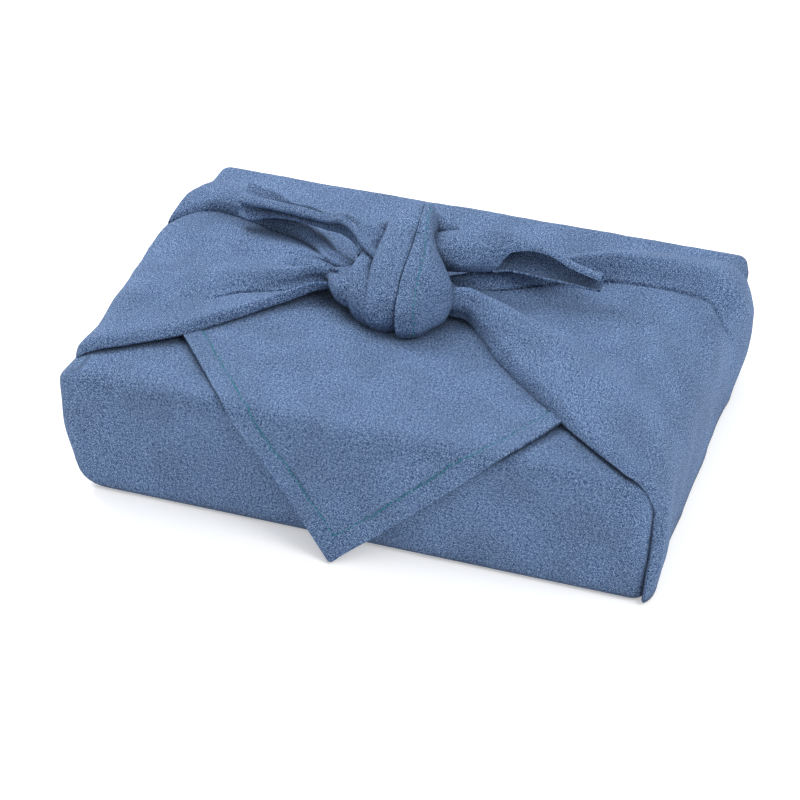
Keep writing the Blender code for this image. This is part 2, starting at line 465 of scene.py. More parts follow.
@dataclass
class Sheet:
    """A piece of the cloth, worked out as rows and columns of points."""

    name: str = "sheet"
    thickness: float = 1.0
    held: Held = Held.DRAPED
    wave_size: float = 26.0
    wave: float = 0.45
    crinkle_size: float = 7.0
    crinkle: float = 0.16
    seed: int = 1

    def wrinkle(self, points: Points, uv: Points, closed: bool = False, share: object = 1.0) -> Points:
        """Add the soft waves and crinkles of washed cotton.

        Args:
            points: Rows and columns of points, in metres.
            uv: The flat place of each point, in metres.
            closed: Whether the last column meets the first.
            share: How much of the unevenness each point takes.

        Returns:
            The moved points.
        """
        u, v = uv[..., 0], uv[..., 1]
        wave = unevenness(u, v, self.wave_size * MM, self.seed) * self.wave * MM
        fine = unevenness(u + v, v - u, self.crinkle_size * MM, self.seed + 50) * self.crinkle * MM
        return points + grid_normals(points, closed) * ((wave + fine) * share)[..., None]

    def to_object(self, points: Points, uv: Points, closed: bool = False, caps: bool = False) -> Piece:
        """Turn rows and columns of points into a mesh object.

        Args:
            points: Rows and columns of points, in metres.
            uv: The flat place of each point, with one more column if closed.
            closed: Whether the last column meets the first.
            caps: Whether the first and last rows are filled.

        Returns:
            The object, with its flat coordinates as a UV map.
        """
        rows, columns = points.shape[:2]
        wide = columns if closed else columns - 1
        r, c = np.meshgrid(np.arange(rows - 1), np.arange(wide), indexing="ij")
        r, c = r.ravel(), c.ravel()
        corners = ((r, c), (r + 1, c), (r + 1, c + 1), (r, c + 1))
        faces = np.stack([a * columns + b % columns for a, b in corners], axis=1)
        flat = np.stack([uv[a, b] for a, b in corners], axis=1).reshape(-1, 2)
        quads = faces.tolist()
        if caps:
            quads.append(list(range(columns)))
            quads.append([(rows - 1) * columns + i for i in reversed(range(columns))])
            ends = np.concatenate([uv[0, :columns], uv[-1, :columns][::-1]])
            flat = np.concatenate([flat, ends])
        mesh = bpy.data.meshes.new(self.name)
        mesh.from_pydata(points.reshape(-1, 3).tolist(), [], quads)
        layer = mesh.uv_layers.new(name=CLOTH_UV)
        layer.data.foreach_set("uv", flat.astype(np.float32).ravel())
        mesh.shade_smooth()
        mesh.update()
        item = bpy.data.objects.new(self.name, mesh)
        bpy.context.scene.collection.objects.link(item)
        return item

    def dress(self, item: Piece, finish: Material) -> Piece:
        """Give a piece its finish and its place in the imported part.

        Args:
            item: The piece.
            finish: Its material.

        Returns:
            The same piece.
        """
        item.data.materials.append(finish)
        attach(item, BODY)
        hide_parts(NODE)
        return item

    def to_cloth(self, points: Points, uv: Points, finish: Material, closed: bool = False) -> Piece:
        """Turn rows and columns of points into a finished sheet of cloth.

        The sheet gets its thickness inwards from the face that shows, and says
        how large it is when it is laid out flat.

        Args:
            points: Rows and columns of points, in metres.
            uv: The flat place of each point, with one more column if closed.
            finish: The cloth's material.
            closed: Whether the last column meets the first.

        Returns:
            The sheet's object.
        """
        item = self.to_object(points, uv, closed)
        solid = item.modifiers.new("thickness", "SOLIDIFY")
        solid.thickness = self.thickness * MM
        solid.offset = -1.0
        solid.use_even_offset = False
        self.dress(item, finish)
        return item


@dataclass
class BoxWrap(Sheet):
    """The cloth drawn flat round the box, with soft edges."""

    name: str = "wrap_over_box"
    length: float = 300.0
    depth: float = 214.0
    height: float = 68.2
    corner: float = 8.0
    top_edge: float = 8.0
    base_edge: float = 4.0
    step: float = 1.7
    base_insets: tuple[float, ...] = (90.0, 70.0, 50.0, 30.0, 18.0, 10.0, 7.0)
    top_inset: float = 104.0
    top_step: float = 2.4
    base_turns: int = 6
    turns: int = 9
    least_corner: float = 0.4
    lifted: Spot = (26.0, 22.0, 60.0)
    slack: float = 5.0
    slack_length: float = 30.0
    slack_back: float = -40.0
    slack_foot: Pair = (6.0, 40.0)
    slack_top: Pair = (6.0, 3.0)
    settled: float = 8.0
    wave: float = 0.9
    wave_size: float = 34.0

    def profile(self) -> Points:
        """List the rings from the base's middle to the top's.

        Returns:
            Each ring's inset and height, in mm.
        """
        rings = [(inset, 0.0) for inset in self.base_insets]
        for turn in np.linspace(0, pi / 2, self.base_turns):
            rings.append((self.base_edge * (1 - sin(turn)), self.base_edge * (1 - cos(turn))))
        wall = np.arange(self.base_edge + self.step, self.height - self.top_edge - self.step / 2, self.step)
        rings.extend((0.0, z) for z in wall)
        for turn in np.linspace(0, pi / 2, self.turns):
            inset = self.top_edge * (1 - cos(turn))
            rings.append((inset, self.height - self.top_edge * (1 - sin(turn))))
        flat = np.arange(self.top_edge + 2, self.top_inset, self.top_step)
        rings.extend((inset, self.height) for inset in flat)
        return np.array(rings)

    def ring(self, inset: float) -> Points:
        """Trace a rectangle with round corners, from the front's left end.

        Args:
            inset: How far in from the wall it runs, in mm.

        Returns:
            Its points, in mm.
        """
        half_x, half_y = self.length / 2 - inset, self.depth / 2 - inset
        radius = max(self.corner - inset, self.least_corner)
        spots = []
        corners = ((1, -1, -90), (1, 1, 0), (-1, 1, 90), (-1, -1, 180))
        runs = (self.length, self.depth, self.length, self.depth)
        start = np.array((-half_x + radius, -half_y))
        for (sx, sy, first), run in zip(corners, runs):
            middle = np.array((sx * (half_x - radius), sy * (half_y - radius)))
            turns = np.radians(first + np.linspace(0, 90, self.turns))
            arc = middle + radius * np.stack([np.cos(turns), np.sin(turns)], axis=1)
            count = int(run / self.step)
            spots.extend(start + (arc[0] - start) * k / count for k in range(count))
            spots.extend(arc[:-1])
            start = arc[-1]
        return np.array(spots)

    def swell(self, points: Points) -> Points:
        """Let the slack cloth stand off the front's left end.

        Args:
            points: The wrap's points, in metres.

        Returns:
            The moved points.
        """
        x, y, z = (points[..., axis] / MM for axis in range(3))
        half = self.length / 2
        near = ease(-x, half - self.slack_length, half) * (1 - ease(y, -self.depth / 2, self.slack_back))
        below, above = self.height - self.slack_top[0], self.height + self.slack_top[1]
        high = ease(z, *self.slack_foot) * (1 - ease(z, below, above))
        moved = points.copy()
        moved[..., 0] -= near * high * self.slack * MM
        return moved

    def lift_corner(self, points: Points) -> Points:
        """Round the slack corner at the front's left foot.

        Args:
            points: The wrap's points, in metres.

        Returns:
            The moved points.
        """
        long, high, deep = (value * MM for value in self.lifted)
        a = (-self.length / 2 * MM + long - points[..., 0]) / long
        b = (high - points[..., 2]) / high
        far = np.sqrt(np.maximum(a, 0) ** 2 + np.maximum(b, 0) ** 2)
        pull = np.where((a > 0) & (b > 0) & (far > 1), 1 / np.maximum(far, TINY), 1.0)
        share = 1 - ease(points[..., 1] + self.depth / 2 * MM, 0.0, deep)
        pull = 1 + (pull - 1) * share
        moved = points.copy()
        moved[..., 0] = np.where(a > 0, points[..., 0] + a * long * (1 - pull), points[..., 0])
        moved[..., 2] = np.where(b > 0, points[..., 2] + b * high * (1 - pull), points[..., 2])
        return moved

    def flat_place(self, points: Points, profile: Points) -> Points:
        """Lay the wrap out flat: its wall as a band, its top and base as they lie.

        Args:
            points: The wrap's points, in metres, with the first column again at the end.
            profile: Each ring's inset and height, in mm.

        Returns:
            The place of each point on the flat cloth, in metres.
        """
        wall = self.ring(0.0) * MM
        around = lengths(np.concatenate([wall, wall[:1]])) - (self.length / 2 - self.corner) * MM
        u = np.repeat(around[None, :], len(points), axis=0)
        rise = lengths(profile) * MM
        v = np.repeat(rise[:, None], u.shape[1], axis=1)
        top = profile[:, 1] >= self.height - HAIR
        base = profile[:, 1] <= HAIR
        flats = ((top, rise[top][0], self.top_edge, 1.0), (base, rise[base][-1], self.base_edge, -1.0))
        for level, start, edge, sign in flats:
            u[level] = points[level][..., 0]
            v[level] = start + sign * (points[level][..., 1] + (self.depth / 2 - edge) * MM)
        return np.stack([u, v], axis=2)

    def build(self, finish: Material) -> Piece:
        """Make the wrap.

        Args:
            finish: The cloth's material.

        Returns:
            The wrap's object.
        """
        profile = self.profile()
        rings = np.array([self.ring(inset) for inset, _ in profile])
        heights = np.repeat(profile[:, 1][:, None], rings.shape[1], axis=1)
        points = np.concatenate([rings, heights[..., None]], axis=2) * MM
        uv = self.flat_place(np.concatenate([points, points[:, :1]], axis=1), profile)
        points, uv = points[::-1], uv[::-1]
        share = ease(points[..., 2], 0.0, self.settled * MM)
        points = self.wrinkle(points, uv[:, :-1], closed=True, share=share)
        points = self.lift_corner(self.swell(points))
        points[..., 2] = np.maximum(points[..., 2], 0.0)
        item = self.to_object(points, uv, closed=True, caps=True)
        self.dress(item, finish)
        return item


class HemRow(NamedTuple):
    """The two hems of the front corner, at a distance from its tip."""

    from_tip: float
    left: float
    right: float


@dataclass
class FrontFlap(Sheet):
    """The cloth's back corner: up the back, over the top and down the front."""

    name: str = "front_corner"
    thickness: float = 1.6
    held: Held = Held.DRAPED
    rows: tuple[HemRow, ...] = ()
    depth: float = 214.0
    half_length: float = 150.6
    top: float = 70.6
    clear: float = 3.4
    back_clear: float = 1.2
    foot: float = 0.8
    back_edge: float = 6.0
    back_turns: tuple[float, ...] = (22.5, 45, 67.5, 90)
    over_top: tuple[float, ...] = (60, 0, -60, -85)
    front_edge: float = 9.0
    front_turns: tuple[float, ...] = (0, 20, 40, 60, 76)
    falls: tuple[Pair, ...] = ((3.4, 40), (8.2, 18))
    lean: float = 18.5
    tip: tuple[Pair, ...] = ((1.6, 3.5), (0, 0.9))
    step: float = 1.7
    hem: float = 10.0
    sewn: Spot = (2.0, 150.0, 0.25)
    hem_rise: float = 0.6
    hem_fold: Pair = (0.8, 0.6)
    seam_dip: float = 0.8
    seam_width: float = 1.3
    end_radius: float = 6.0
    hidden_inset: float = 5.0
    hidden_from: Pair = (50.0, 80.0)
    pucker_size: float = 5.0
    pucker: float = 0.4
    ripple_size: float = 14.0
    ripple_reach: float = 16.0
    ripple: float = 0.5
    rest_height: float = 0.6
    wave: float = 0.5
    wave_size: float = 30.0
    seed: int = 4
    grid: Points = field(init=False, repr=False)
    flat: Points = field(init=False, repr=False)

    def path(self) -> Points:
        """Trace the sheet's middle, from the back's foot to the tip.

        Returns:
            The depth and height of each point, in mm.
        """
        back, front = self.depth / 2 + self.back_clear, -self.depth / 2 - self.clear
        top, r = self.top, self.back_edge
        spots = [(back, self.foot), (back, top * 0.5), (back, top - r)]
        for turn in self.back_turns:
            a = radians(turn)
            spots.append((back - r * (1 - cos(a)), top - r * (1 - sin(a))))
        spots.extend((y, top) for y in self.over_top)
        r = self.front_edge
        for turn in self.front_turns:
            a = radians(turn)
            spots.append((front + r * (1 - sin(a)), top - r * (1 - cos(a))))
        spots.extend((front - out, z) for out, z in self.falls)
        spots.extend((-self.depth / 2 - self.lean + back, z) for back, z in self.tip)
        spots = np.array(spots)
        at = lengths(spots)
        wanted = np.arange(0, at[-1], self.step)
        return through(spots, at, np.append(wanted, at[-1]))

    def hems(self, from_tip: Points) -> tuple[Points, Points, Points, Points]:
        """Find the left and right hem, and how steeply each one runs.

        Args:
            from_tip: Distance from the tip along the cloth, in mm.

        Returns:
            The left hem, the right hem, and the true length of each for 1 mm.
        """
        table = np.array(self.rows, dtype=float)
        at = np.minimum(from_tip, table[-1, 0])
        near = through(table[:, 1:], table[:, 0], at)
        far = through(table[:, 1:], table[:, 0], np.minimum(at + 1.0, table[-1, 0]))
        tilt = np.sqrt(1 + (far - near) ** 2)
        return near[:, 0], near[:, 1], tilt[:, 0], tilt[:, 1]

    def over_ends(self, x: Points, path: Points) -> Points:
        """Bend the sheet down over the box's ends.

        Args:
            x: Each point's place across the flat sheet, in mm.
            path: Each row's depth and height, in mm.

        Returns:
            The points, in metres.
        """
        slope = np.gradient(path, axis=0)
        slope /= np.linalg.norm(slope, axis=1, keepdims=True)
        outward = np.stack([slope[:, 1], -slope[:, 0]], axis=1)
        half = self.half_length - self.hidden_inset * (1 - ease(path[:, 0], *self.hidden_from))[:, None]
        over = np.maximum(np.abs(x) - (half - self.end_radius), 0.0)
        turn = np.minimum(over / self.end_radius, pi / 2)
        straight = np.maximum(over - self.end_radius * pi / 2, 0.0)
        inset = half - self.end_radius + self.end_radius * np.sin(turn)
        sunk = self.end_radius * (1 - np.cos(turn)) + straight
        y = path[:, 0][:, None] - outward[:, 0][:, None] * sunk
        z = path[:, 1][:, None] - outward[:, 1][:, None] * sunk
        return np.stack([np.where(over > 0, np.sign(x) * inset, x), y, z], axis=2) * MM

    def hemmed(self, uv: Points, edge: Points) -> Points:
        """Work out the hem's thickness, the dip of its seam and its ripple.

        Args:
            uv: The flat place of each point, in metres.
            edge: Each point's distance from the nearer hem, in mm.

        Returns:
            How far each point is pushed out, in mm.
        """
        inner, outer = self.hem_fold
        bulk = self.hem_rise * (1 - ease(edge, self.hem - inner, self.hem + outer))
        pucker = unevenness(uv[..., 0], uv[..., 1], self.pucker_size * MM, 9, octaves=1)
        pucker = 1 - self.pucker + self.pucker * pucker
        dip = self.seam_dip * pucker * np.exp(-(((edge - self.hem) / self.seam_width) ** 2))
        ripple = unevenness(uv[..., 0], uv[..., 1], self.ripple_size * MM, 31, octaves=1)
        ripple = self.ripple * ripple * (1 - ease(edge, 0.0, self.ripple_reach))
        return bulk - dip + ripple

    def build(self, finish: Material) -> Piece:
        """Make the sheet, its hems and its soft ends.

        Args:
            finish: The cloth's material.

        Returns:
            The sheet's object.
        """
        path = self.path()
        along = lengths(path)
        left, right, left_tilt, right_tilt = self.hems(along[-1] - along)
        columns = int(2 * self.half_length / self.step)
        u = left[:, None] + (right - left)[:, None] * np.linspace(0, 1, columns)[None, :]
        self.flat = np.stack([u, np.repeat(along[:, None], columns, axis=1)], axis=2)
        uv = self.flat * MM
        points = self.wrinkle(self.over_ends(u, path), uv)
        to_left = (u - left[:, None]) / left_tilt[:, None]
        to_right = (right[:, None] - u) / right_tilt[:, None]
        push = self.hemmed(uv, np.minimum(to_left, to_right))
        points += grid_normals(points) * (push * MM)[..., None]
        points[..., 2] = np.maximum(points[..., 2], self.rest_height * MM)
        self.grid = points
        return self.to_cloth(points, uv, finish)

    def on_face(self, u: float, v: float) -> tuple[Vector, Vector]:
        """Find a flat place on the finished sheet.

        Args:
            u: Place across, in mm.
            v: Place along, in mm.

        Returns:
            The point and the outward direction there.
        """
        row = int(np.argmin(np.abs(self.flat[:, 0, 1] - v)))
        row = min(max(row, 1), len(self.flat) - 2)
        line = self.flat[row, :, 0]
        column = int(np.clip(np.searchsorted(line, u), 1, len(line) - 2))
        share = (u - line[column - 1]) / max(line[column] - line[column - 1], TINY)
        point = self.grid[row, column - 1] * (1 - share) + self.grid[row, column] * share
        across = self.grid[row, column + 1] - self.grid[row, column - 1]
        down = self.grid[row + 1, column] - self.grid[row - 1, column]
        normal = np.cross(down, across)
        down_share = v - self.flat[row, 0, 1]
        point = point + down / np.linalg.norm(down) * down_share * MM
        return Vector(point), Vector(normal).normalized()

    def seam(self, side: int) -> Seam:
        """List the places along one hem's seam, from the tip up to the gather.

        Args:
            side: -1 for the left hem, 1 for the right one.

        Returns:
            Each place and the outward direction there.
        """
        from_tip = np.arange(*self.sewn)
        left, right, left_tilt, right_tilt = self.hems(from_tip)
        left, right = left + self.hem * left_tilt, right - self.hem * right_tilt
        line = left if side < 0 else right
        met = left < right + 0.5
        end = float(self.flat[-1, 0, 1])
        return [self.on_face(u, end - s) for u, s, ok in zip(line, from_tip, met) if ok]


class FanRow(NamedTuple):
    """A section of a gather.

    along and up are its place on the end or the top, lean turns its outward
    direction from straight up (0) to straight out of the end (90), each fold
    is its place across the box and its lift, and skew moves it along the box
    by a share of its place across.
    """

    along: float
    up: float
    lean: float
    folds: tuple[Pair, ...]
    skew: float = 0.0


class Crease(NamedTuple):
    """A sharp line along one fold of a gather.

    fold is the fold's number, start and end are distances from the knot.
    """

    fold: int
    start: float
    end: float
    depth: float


class Pleat(NamedTuple):
    """A small fold that runs out from the knot.

    place is its share of the way across, reach how far it runs, depth how
    deep it is by the knot, and width its width there.
    """

    place: float
    reach: float
    depth: float
    width: float


@dataclass
class Fan(Sheet):
    """A part of a gather, from the foot of the box's end to the knot.

    Its columns stand closer together by the folds, by a share of gathering.
    Flutes are soft ups and downs that run down from the knot. They fade over
    flute_reach to the share flute_rest.
    """

    rows: tuple[FanRow, ...] = ()
    pleats: tuple[Pleat, ...] = ()
    creases: tuple[Crease, ...] = ()
    flutes: float = 11.0
    flute_depth: float = 1.5
    flute_reach: float = 42.0
    flute_rest: float = 0.3
    held: Held = Held.GATHERED
    tuck: float = 8.0
    tuck_depth: float = 1.5
    step: float = 1.5
    per_fold: int = 22
    per_tuck: int = 5
    gathering: float = 0.65
    softness: int = 6
    pleat_fade: float = 0.8
    pleat_spread: float = 0.6
    crease_columns: float = 2.2
    crease_start: float = 8.0
    crease_end: float = 20.0
    flute_length: float = 70.0
    plain_edge: float = 0.12

    def section(self, folds: Points) -> Points:
        """Round a section's folds off and tuck its two edges under.

        Args:
            folds: Place and lift of each fold, in mm.

        Returns:
            Place and lift of each point of the section.
        """
        front, back = folds[0], folds[-1]
        reach = max(abs(back[0] - front[0]), 1.0)
        tuck = min(self.tuck, 0.4 * reach)
        under_front = [(front[0] + share * tuck, front[1] - self.tuck_depth) for share in (1, 0.25)]
        under_back = [(back[0] - share * tuck, back[1] - self.tuck_depth) for share in (0.25, 1)]
        line = np.array([*under_front, *folds, *under_back])
        at = lengths(line)
        at = at + np.arange(len(at)) * HAIR
        wanted = []
        last = len(line) - 2
        for i in range(len(line) - 1):
            count = self.per_tuck if i in (0, 1, last - 1, last) else self.per_fold
            share = np.linspace(0, 1, count, endpoint=False)
            share = share - self.gathering * np.sin(2 * pi * share) / (2 * pi)
            wanted.append(at[i] + (at[i + 1] - at[i]) * share)
        wanted.append(at[-1:])
        return through(line, at, np.concatenate(wanted))

    def sections(self) -> tuple[Points, Points]:
        """Work out all the sections.

        Returns:
            The points in mm, and each row's distance from the knot.
        """
        folds = np.array([row.folds for row in self.rows])
        place = np.array([(row.along, row.up, row.lean, row.skew) for row in self.rows])
        middle = folds[:, folds.shape[1] // 2, 0]
        spine = np.stack([place[:, 0], middle, place[:, 1]], axis=1)
        at = lengths(spine)
        wanted = np.linspace(0, at[-1], int(at[-1] / self.step))
        place = through(place, at, wanted)
        folds = through(folds, at, wanted)
        side = np.sign(self.rows[0].along)
        lines = []
        for (along, up, lean, skew), fold in zip(place, folds):
            line = self.section(fold)
            tilt = radians(lean)
            x = along + side * sin(tilt) * line[:, 1] + skew * (line[:, 0] - fold[0, 0])
            z = up + cos(tilt) * line[:, 1]
            lines.append(np.stack([x, line[:, 0], z], axis=1))
        return np.array(lines), at[-1] - wanted

    def folded(self, to_knot: Points, share: Points, span: Points) -> Points:
        """Work out the pleats, the sharp creases and the flutes.

        Args:
            to_knot: Each row's distance from the knot, in mm.
            share: Each point's share of the way across, from the front.
            span: Each point's distance from the first column, in metres.

        Returns:
            How far each point is pushed out, in mm.
        """
        push = np.zeros(share.shape)
        for place, reach, depth, width in self.pleats:
            fade = np.clip(1 - to_knot / reach, 0, 1)[:, None]
            apart = (share - place) * span[:, -1:] / MM
            wide = width * (1 + self.pleat_spread - self.pleat_spread * fade)
            push -= depth * fade ** self.pleat_fade * np.exp(-((apart / wide) ** 2))
        column = np.arange(share.shape[1])
        if self.rows[0].along > 0:
            column = column[::-1]
        for fold, start, end, depth in self.creases:
            fade = ease(to_knot, start - self.crease_start, start + self.crease_start)
            fade = fade * (1 - ease(to_knot, end - self.crease_end, end + self.crease_end))
            apart = column - 2 * self.per_tuck - self.per_fold * fold
            push -= depth * fade[:, None] * np.exp(-((apart / self.crease_columns) ** 2))[None, :]
        inner = ease(share, 0.0, self.plain_edge) * (1 - ease(share, 1 - self.plain_edge, 1.0))
        swell = self.flute_depth * (np.exp(-to_knot / self.flute_reach) + self.flute_rest)[:, None]
        down = to_knot[:, None] / self.flute_length + 0 * share
        return push + swell * inner * unevenness(share * self.flutes, down, 1.0, self.seed + 7)

    def build(self, finish: Material) -> Piece:
        """Make the fan with its pleats.

        Args:
            finish: The cloth's material.

        Returns:
            The fan's object.
        """
        points, to_knot = self.sections()
        points = soften(points, self.softness) * MM
        on_right = self.rows[0].along > 0
        if on_right:
            points = points[:, ::-1]
        middle = points.shape[1] // 2
        uv = laid_flat(points, lengths(points[:, middle]))
        uv[..., 0] -= uv[:, middle, 0].copy()[:, None]
        points = self.wrinkle(points, uv)
        span = uv[..., 0] - uv[:, :1, 0]
        share = span / np.maximum(span[:, -1:], TINY)
        if on_right:
            share = 1 - share
        points += grid_normals(points) * (self.folded(to_knot, share, span) * MM)[..., None]
        return self.to_cloth(points, uv, finish)


class StrandRow(NamedTuple):
    """The middle of a strand's section, its width, thickness and turn."""

    x: float
    y: float
    z: float
    width: float
    thickness: float
    turn: float = 0.0


class Groove(NamedTuple):
    """A crease that runs along a strand.

    angle is its place round the strand in degrees, from the front over the
    top, and start and end are shares of the way along.
    """

    angle: float
    depth: float
    width: float
    start: float
    end: float


@dataclass
class Strand(Sheet):
    """A rope of gathered cloth in the knot.

    Its sections face away from the knot's middle if it stands, or else up.
    """

    rows: tuple[StrandRow, ...] = ()
    grooves: tuple[Groove, ...] = ()
    stands: bool = False
    held: Held = Held.GATHERED
    middle: Spot = (-8.0, 8.0, 84.0)
    around: int = 84
    step: float = 0.7
    wave: float = 0.5
    wave_size: float = 12.0
    crinkle: float = 0.13
    crinkle_size: float = 4.0
    squareness: float = 2.3
    fade: float = 0.12

    def frames(self) -> tuple[Points, Points, Points, Points]:
        """Work out the sections.

        Returns:
            Each section's middle, its direction across, its direction
            outwards, and its width, thickness and turn.
        """
        table = np.array(self.rows, dtype=float)
        at = lengths(table[:, :3])
        table = through(table, at, np.linspace(0, at[-1], max(int(at[-1] / self.step), 8)))
        spine = table[:, :3]
        along = np.gradient(spine, axis=0)
        along /= np.linalg.norm(along, axis=1, keepdims=True)
        upward = np.tile((0.0, 0.0, 1.0), (len(spine), 1))
        across = np.cross(along, spine - np.array(self.middle) if self.stands else upward)
        across /= np.linalg.norm(across, axis=1, keepdims=True)
        outward = np.cross(across, along)
        return spine, across, outward, table[:, 3:]

    def build(self, finish: Material) -> Piece:
        """Make the strand as a tube of cloth.

        Args:
            finish: The cloth's material.

        Returns:
            The strand's object.
        """
        spine, across, outward, sizes = self.frames()
        angles = np.linspace(0, 2 * pi, self.around, endpoint=False)
        power = 2 / self.squareness
        a = np.sign(np.cos(angles)) * np.abs(np.cos(angles)) ** power
        b = np.sign(np.sin(angles)) * np.abs(np.sin(angles)) ** power
        turn = np.radians(sizes[:, 2])[:, None]
        wide, thick = sizes[:, :1] / 2 * a, sizes[:, 1:2] / 2 * b
        p, q = wide * np.cos(turn) - thick * np.sin(turn), wide * np.sin(turn) + thick * np.cos(turn)
        points = spine[:, None] + across[:, None] * p[..., None] + outward[:, None] * q[..., None]
        points = points * MM
        uv = laid_flat(np.concatenate([points, points[:, :1]], axis=1), lengths(spine) * MM)
        points = self.wrinkle(points, uv[:, :-1], closed=True)
        share = np.linspace(0, 1, len(points))[:, None]
        push = np.zeros(points.shape[:2])
        for angle, depth, width, start, end in self.grooves:
            gap = np.abs((np.degrees(angles)[None, :] - angle + 180) % 360 - 180)
            fade = ease(share, start - self.fade, start + self.fade)
            fade = fade * (1 - ease(share, end - self.fade, end + self.fade))
            push -= depth * fade * np.exp(-((gap / width) ** 2))
        points += grid_normals(points, True) * (push * MM)[..., None]
        return self.to_cloth(points, uv, finish, closed=True)


# The section of a rolled rim, backwards and up, in radii of its roll.
RIM = ((1.0, 0.3), (-0.2, -0.8), (1.0, -2.0))


class TailRow(NamedTuple):
    """A section of a free end: its place along the box and its outline.

    The outline is the depth and height of each fold, in order round the roll.
    """

    x: float
    outline: tuple[Pair, ...]

    def spots(self, rim: int, radius: float = 2.6) -> list[Spot]:
        """Give the outline as points.

        Args:
            rim: The fold that is rolled round into a rim, or -1 for none.
            radius: Size of the roll, in mm.

        Returns:
            The points. The rim's fold becomes three of them, placed by RIM.
        """
        spots = []
        for fold, (y, z) in enumerate(self.outline):
            if fold == rim:
                spots.extend((self.x, y + radius * out, z + radius * up) for out, up in RIM)
            else:
                spots.append((self.x, y, z))
        return spots


class CoverRow(NamedTuple):
    """A line across the knot's top layer, from its hem to where it tucks in."""

    under: Spot
    hem: Spot
    seam: Spot
    crown: Spot
    side: Spot
    tuck: Spot


@dataclass
class Layer(Sheet):
    """A folded layer of the knot, given by points on its folds.

    The first and last rows are its ends, and seam_fold is the fold that
    carries the hem's stitches, or -1 for none.
    """

    rows: tuple[tuple[Spot, ...], ...] = ()
    held: Held = Held.GATHERED
    seam_fold: int = -1
    softness: int = 8
    step: float = 0.6
    per_fold: int = 16
    thickness: float = 1.1
    wave: float = 0.35
    wave_size: float = 10.0
    crinkle: float = 0.12
    crinkle_size: float = 4.0
    seam_dip: float = 0.45
    seam_columns: float = 2.2
    seam_points: Points = field(init=False, repr=False)
    seam_out: Points = field(init=False, repr=False)

    def build(self, finish: Material) -> Piece:
        """Make the layer.

        Args:
            finish: The cloth's material.

        Returns:
            The layer's object.
        """
        table = np.array(self.rows, dtype=float)
        at = lengths(table[:, table.shape[1] // 2])
        table = through(table, at, np.linspace(0, at[-1], int(at[-1] / self.step)))
        lines = []
        for row in table:
            place = lengths(row)
            wanted = [np.linspace(a, b, self.per_fold, endpoint=False) for a, b in zip(place, place[1:])]
            lines.append(through(row, place, np.append(np.concatenate(wanted), place[-1])))
        points = soften(np.array(lines), self.softness) * MM
        uv = laid_flat(points, lengths(points[:, points.shape[1] // 2]))
        points = self.wrinkle(points, uv)
        if self.seam_fold >= 0:
            seam = self.per_fold * self.seam_fold
            apart = np.arange(points.shape[1]) - seam
            dip = self.seam_dip * np.exp(-((apart / self.seam_columns) ** 2))
            points -= grid_normals(points) * (dip * MM)[None, :, None]
            self.seam_points = points[:, seam]
            self.seam_out = grid_normals(points)[:, seam]
        return self.to_cloth(points, uv, finish)

    def seam(self) -> Seam:
        """List the places along the seam, from the top down."""
        return [(Vector(p), Vector(n)) for p, n in zip(self.seam_points, self.seam_out)]


# --------------------------------------------------------------------------
# Where the folds lie
# --------------------------------------------------------------------------

HEMS = (
    HemRow(0, -4.5, -2.5),
    HemRow(3.3, -7.5, 1),
    HemRow(20, -22, 21),
    HemRow(42, -40, 45),
    HemRow(62, -57, 66),
    HemRow(71, -64, 75.5),
    HemRow(78, -70, 80.5),
    HemRow(105, -93, 95),
    HemRow(117, -103, 101),
    HemRow(150, -132, 120),
    HemRow(175, -156, 152),
    HemRow(200, -163.6, 163.6),
)
LEFT_GATHER = (
    FanRow(-149, 2, 90, ((-80, -0.8), (-74, 0.4), (-60, 1), (-34, 1), (-10, 1), (20, 1), (60, 0))),
    FanRow(-150, 30, 90, ((-92, 0.8), (-86, 2.6), (-62, 2), (-36, 2.6), (-8, 2.2), (16, 2.4), (58, 1))),
    FanRow(-149.5, 54, 84, ((-91, 1), (-85, 3.6), (-62, 3), (-36, 3.6), (-8, 3), (14, 3.4), (50, 1))),
    FanRow(-148, 66, 45, ((-89, 1.2), (-83, 5), (-62, 3.4), (-36, 5.2), (-6, 6.2), (26, 8.2), (56, 5))),
    FanRow(-137, 69, 10, ((-82.5, 1.5), (-77, 6), (-56, 4.5), (-30, 7), (0, 6), (26, 8), (56, 4))),
    FanRow(-120, 69, 0, ((-71.5, 1.8), (-65, 6), (-40, 5), (-14, 7.6), (8, 6.5), (28, 6.8), (60, 3))),
    FanRow(-104, 69, 0, ((-59.5, 2.4), (-53, 6.8), (-30, 5.4), (-6, 9), (12, 6.6), (28, 7.5), (54, 3))),
    FanRow(-87, 69, 0, ((-41, 2.6), (-36, 7.2), (-16, 5.4), (-2, 10.4), (13, 7), (25, 9), (44, 4))),
    FanRow(-66, 69, 0, ((-18.5, 4), (-16, 8.6), (-9, 5.8), (0, 13.8), (8, 9), (16, 13), (30, 6))),
    FanRow(-52, 69, 0, ((-6, 7), (-7, 11.5), (-4.5, 8.6), (0, 18), (5, 12.5), (9, 16.5), (18, 9))),
    FanRow(-43, 69, 0, ((-3.5, 8), (-5.5, 12), (-3.5, 10.4), (-1, 17.5), (3, 13.5), (7, 16), (13, 9))),
    FanRow(-30, 69, 0, ((-7, 7), (-9, 12), (-6, 12), (-3, 16), (2, 14), (7, 15), (13, 9))),
)
